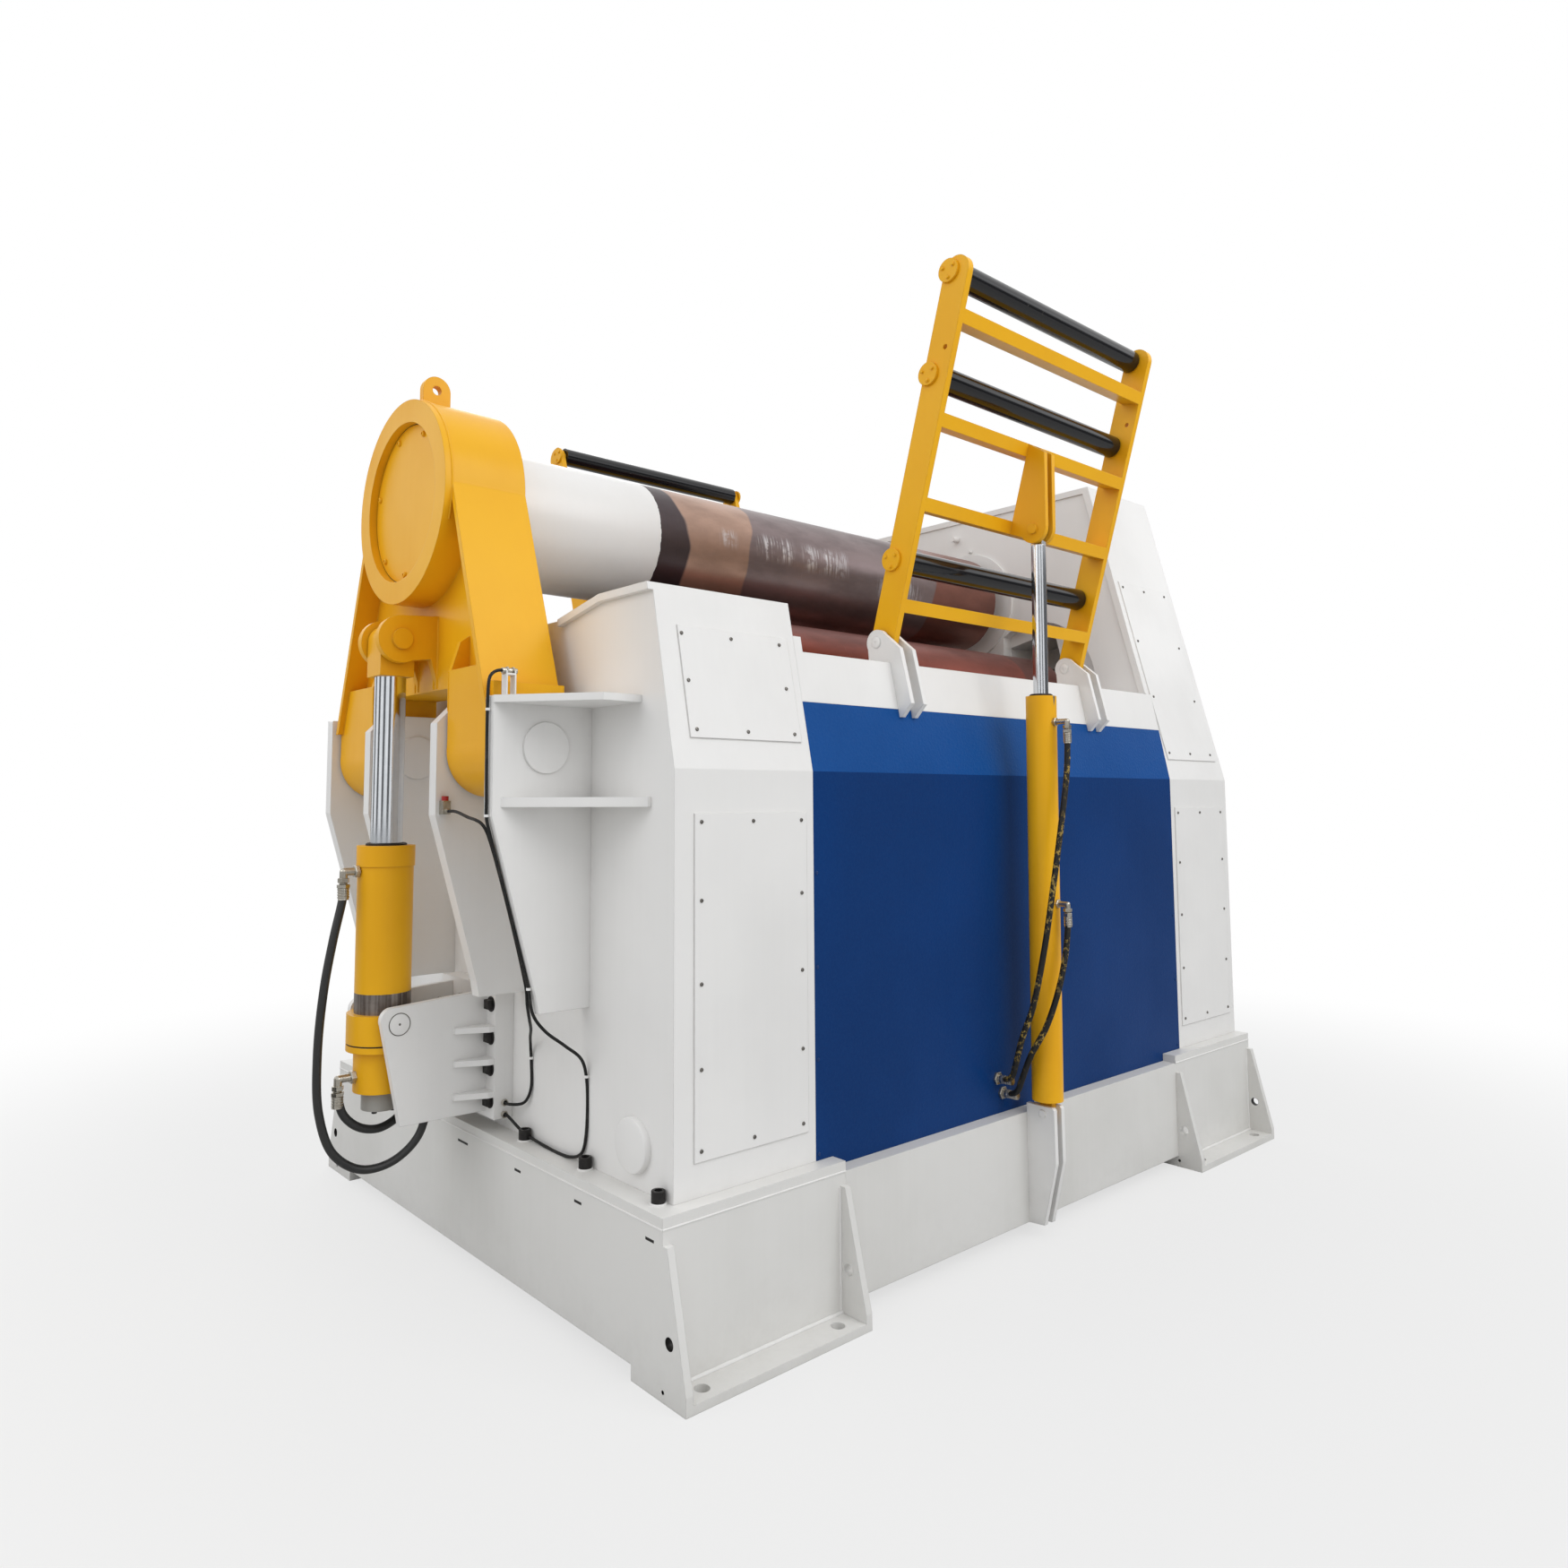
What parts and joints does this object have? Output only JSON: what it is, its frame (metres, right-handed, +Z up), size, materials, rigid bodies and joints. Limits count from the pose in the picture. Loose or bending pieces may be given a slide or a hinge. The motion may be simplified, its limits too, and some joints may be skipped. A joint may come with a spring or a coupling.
{
  "type": "plate rolling machine",
  "caption": "Hydraulic plate bending machine with top, bottom and side rolls, a hinged drop end for taking off the rolled shell, and tilting plate supports on its front and rear.",
  "frame": {"origin": "on the floor, at the centre of the outer foundation bolts of the four feet", "axes": "+X along the rolls towards the drive end, -Y towards the working front, +Z up"},
  "size_m": [4.668, 2.8248, 3.5154],
  "materials": {
    "white_paint": "gloss",
    "blue_paint": "gloss",
    "grey_paint": "satin",
    "scaled_roll": "oiled mill scale",
    "dark_steel": "satin",
    "yellow_paint": "gloss",
    "chrome_rod": "polished",
    "black_roller": "satin",
    "hose_rubber": "satin"
  },
  "bodies": {
    "root": {"base_end_left": "white_paint", "base_end_right": "white_paint", "base_beam_front": "white_paint", "base_beam_rear": "white_paint", "left_stand": "white_paint", "right_stand": "white_paint", "stand_covers": "white_paint", "front_panel": "blue_paint", "rear_panel": "blue_paint", "front_tie_beam": "white_paint", "rear_tie_beam": "white_paint", "cheeks_front": "white_paint", "cheeks_rear": "white_paint", "trunnion_bracket": "white_paint", "right_bearing_ring": "white_paint", "top_gearbox": "grey_paint", "bottom_gearbox": "grey_paint", "front_cylinder_foot": "white_paint", "rear_cylinder_foot": "white_paint", "bottom_roll": "scaled_roll", "bottom_roll_blocks": "dark_steel", "rear_side_roll": "scaled_roll", "rear_side_blocks": "dark_steel", "sensor_cable": "hose_rubber", "switch_cable": "hose_rubber"},
    "drop_end": {"drop_end": "yellow_paint", "drop_cover": "yellow_paint"},
    "drop_barrel": {"drop_barrel": "yellow_paint", "drop_hose_upper": "hose_rubber", "drop_hose_lower": "hose_rubber"},
    "drop_rod": {"drop_rod": "chrome_rod"},
    "top_roll": {"top_roll": "scaled_roll"},
    "front_side_blocks": {"front_side_blocks": "dark_steel"},
    "front_side_roll": {"front_side_roll": "scaled_roll"},
    "front_support": {"front_support_frame": "yellow_paint", "front_support_axles": "yellow_paint"},
    "front_roller_top": {"front_roller_top": "black_roller"},
    "front_roller_mid": {"front_roller_mid": "black_roller"},
    "front_roller_low": {"front_roller_low": "black_roller"},
    "front_support_barrel": {"front_support_barrel": "yellow_paint", "support_hose_upper": "hose_rubber", "support_hose_lower": "hose_rubber"},
    "front_support_rod": {"front_support_rod": "chrome_rod"},
    "rear_support": {"rear_support_frame": "yellow_paint", "rear_support_axles": "yellow_paint", "rear_support_rollers": "black_roller"},
    "rear_support_barrel": {"rear_support_barrel": "yellow_paint"},
    "rear_support_rod": {"rear_support_rod": "chrome_rod"}
  },
  "joints": [
    {"name": "drop_end_hinge", "type": "hinge", "parent": "root", "child": "drop_end", "pos_m": [-1.845, 0, 1.768], "axis": [0, -1, 0], "range_deg": [0, 75]},
    {"name": "drop_barrel_tilt", "type": "hinge", "parent": "root", "child": "drop_barrel", "pos_m": [-2.06, 0, 0.873], "axis": [0, -1, 0], "range_deg": [-0.5, 16.5]},
    {"name": "drop_rod_slide", "type": "slide", "parent": "drop_barrel", "child": "drop_rod", "axis": [0, 0, 1], "range_m": [-0.48, 0.005]},
    {"name": "top_roll_spin", "type": "hinge", "parent": "root", "child": "top_roll", "pos_m": [0, 0, 2.66], "axis": [1, 0, 0], "continuous": true},
    {"name": "front_side_lift", "type": "slide", "parent": "root", "child": "front_side_blocks", "axis": [0, 0.225, 0.9744], "range_m": [0, 0.2]},
    {"name": "front_side_roll_spin", "type": "hinge", "parent": "front_side_blocks", "child": "front_side_roll", "pos_m": [0, -0.44, 2.119], "axis": [1, 0, 0], "continuous": true},
    {"name": "front_support_tilt", "type": "hinge", "parent": "root", "child": "front_support", "pos_m": [0, -0.986, 2.179], "axis": [1, 0, 0], "range_deg": [0, 70]},
    {"name": "front_roller_top_spin", "type": "hinge", "parent": "front_support", "child": "front_roller_top", "pos_m": [0, -1.32964, 3.46936], "axis": [1, 0, 0], "continuous": true},
    {"name": "front_roller_mid_spin", "type": "hinge", "parent": "front_support", "child": "front_roller_mid", "pos_m": [0, -1.22921, 3.12366], "axis": [1, 0, 0], "continuous": true},
    {"name": "front_roller_low_spin", "type": "hinge", "parent": "front_support", "child": "front_roller_low", "pos_m": [0, -1.04256, 2.48122], "axis": [1, 0, 0], "continuous": true},
    {"name": "front_barrel_tilt", "type": "hinge", "parent": "root", "child": "front_support_barrel", "pos_m": [0, -1.259, 0.4495], "axis": [1, 0, 0], "range_deg": [-0.5, 9.2]},
    {"name": "front_rod_slide", "type": "slide", "parent": "front_support_barrel", "child": "front_support_rod", "axis": [0, -0.0106, 0.9999], "range_m": [-0.58, 0.005]},
    {"name": "rear_support_tilt", "type": "hinge", "parent": "root", "child": "rear_support", "pos_m": [0, 0.986, 2.179], "axis": [-1, 0, 0], "range_deg": [0, 70]},
    {"name": "rear_barrel_tilt", "type": "hinge", "parent": "root", "child": "rear_support_barrel", "pos_m": [0, 1.259, 0.4495], "axis": [-1, 0, 0], "range_deg": [-0.5, 9.2]},
    {"name": "rear_rod_slide", "type": "slide", "parent": "rear_support_barrel", "child": "rear_support_rod", "axis": [0, 0.0106, 0.9999], "range_m": [-0.58, 0.005]}
  ],
  "couplings": [
    {"joint": "drop_barrel_tilt", "follows": "drop_end_hinge", "ratio": 0.20715},
    {"joint": "drop_rod_slide", "follows": "drop_end_hinge", "m_per_rad": -0.35776},
    {"joint": "front_barrel_tilt", "follows": "front_support_tilt", "ratio": 0.12305},
    {"joint": "front_rod_slide", "follows": "front_support_tilt", "m_per_rad": -0.45882},
    {"joint": "rear_barrel_tilt", "follows": "rear_support_tilt", "ratio": 0.12305},
    {"joint": "rear_rod_slide", "follows": "rear_support_tilt", "m_per_rad": -0.45882}
  ]
}
